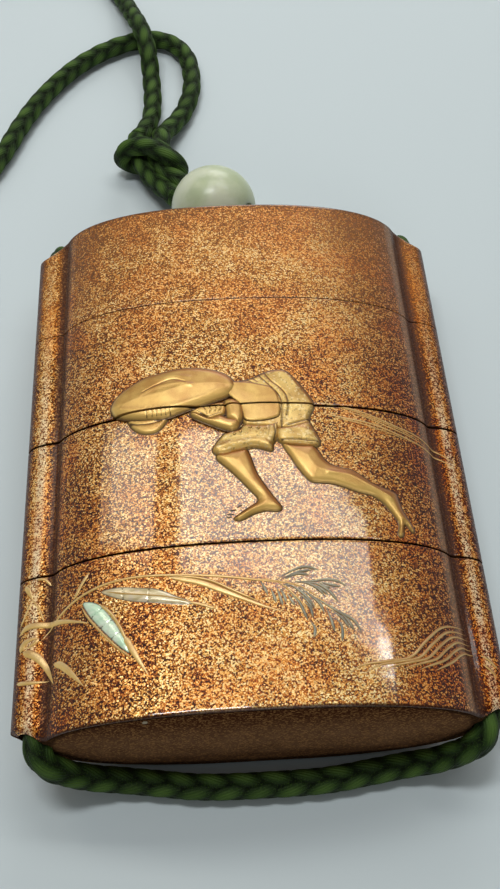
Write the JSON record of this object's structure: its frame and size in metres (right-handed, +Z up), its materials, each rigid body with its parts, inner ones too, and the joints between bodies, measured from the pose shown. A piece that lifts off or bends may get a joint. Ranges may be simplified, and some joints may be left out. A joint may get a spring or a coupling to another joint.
{
  "type": "inro case",
  "caption": "Flattened oval lacquered case of stacked hollow tiers with side cord runners, threaded cord, stone bead and knot.",
  "frame": {"origin": "on the table under the middle of the case, which lies on its back", "axes": "+Z up, out of the decorated face; +Y along the case from its base to its lid; +X across it, from the left cord runner to the right one as seen from above"},
  "size_m": [0.0882, 0.1764, 0.0205],
  "materials": {
    "lacquer": "gold-flake lacquer under a clear gloss coat over wood, with gold relief and inlay on the front",
    "bead_stone": "polished pale translucent green stone",
    "cord_silk": "braided green silk"
  },
  "bodies": {
    "root": {"lid": "lacquer", "case_upper": "lacquer", "case_middle": "lacquer", "case_lower": "lacquer", "bead": "bead_stone", "cord_case": "cord_silk", "cord_loop": "cord_silk", "cord_knot": "cord_silk"}
  },
  "joints": []
}
